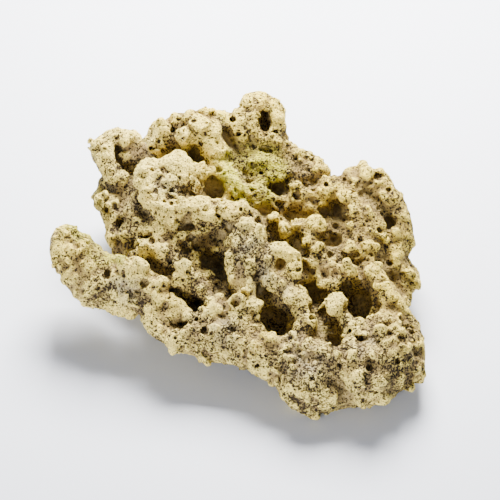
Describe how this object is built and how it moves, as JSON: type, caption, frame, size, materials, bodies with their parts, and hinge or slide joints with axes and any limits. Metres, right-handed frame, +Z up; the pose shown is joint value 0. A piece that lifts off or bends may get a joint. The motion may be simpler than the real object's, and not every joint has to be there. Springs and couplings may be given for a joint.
{
  "type": "aquarium reef rock",
  "caption": "Porous reef limestone boulder with a rolled front lip, an arm, blunt fingers, a slotted peak and open caves; stands on worn feet on a tank floor.",
  "frame": {"origin": "centre of the bounding box, at the floor that the feet stand on", "axes": "+X to the right seen from the front lip, along the longest extent; +Y to the back; +Z up"},
  "size_m": [0.3046, 0.263, 0.1217],
  "materials": {
    "limestone": "dry, chalky and porous: cream knobs, tan flanks, dark brown pores and caves, a film of olive algae"
  },
  "bodies": {
    "root": {"reef_rock": "limestone"}
  },
  "joints": []
}
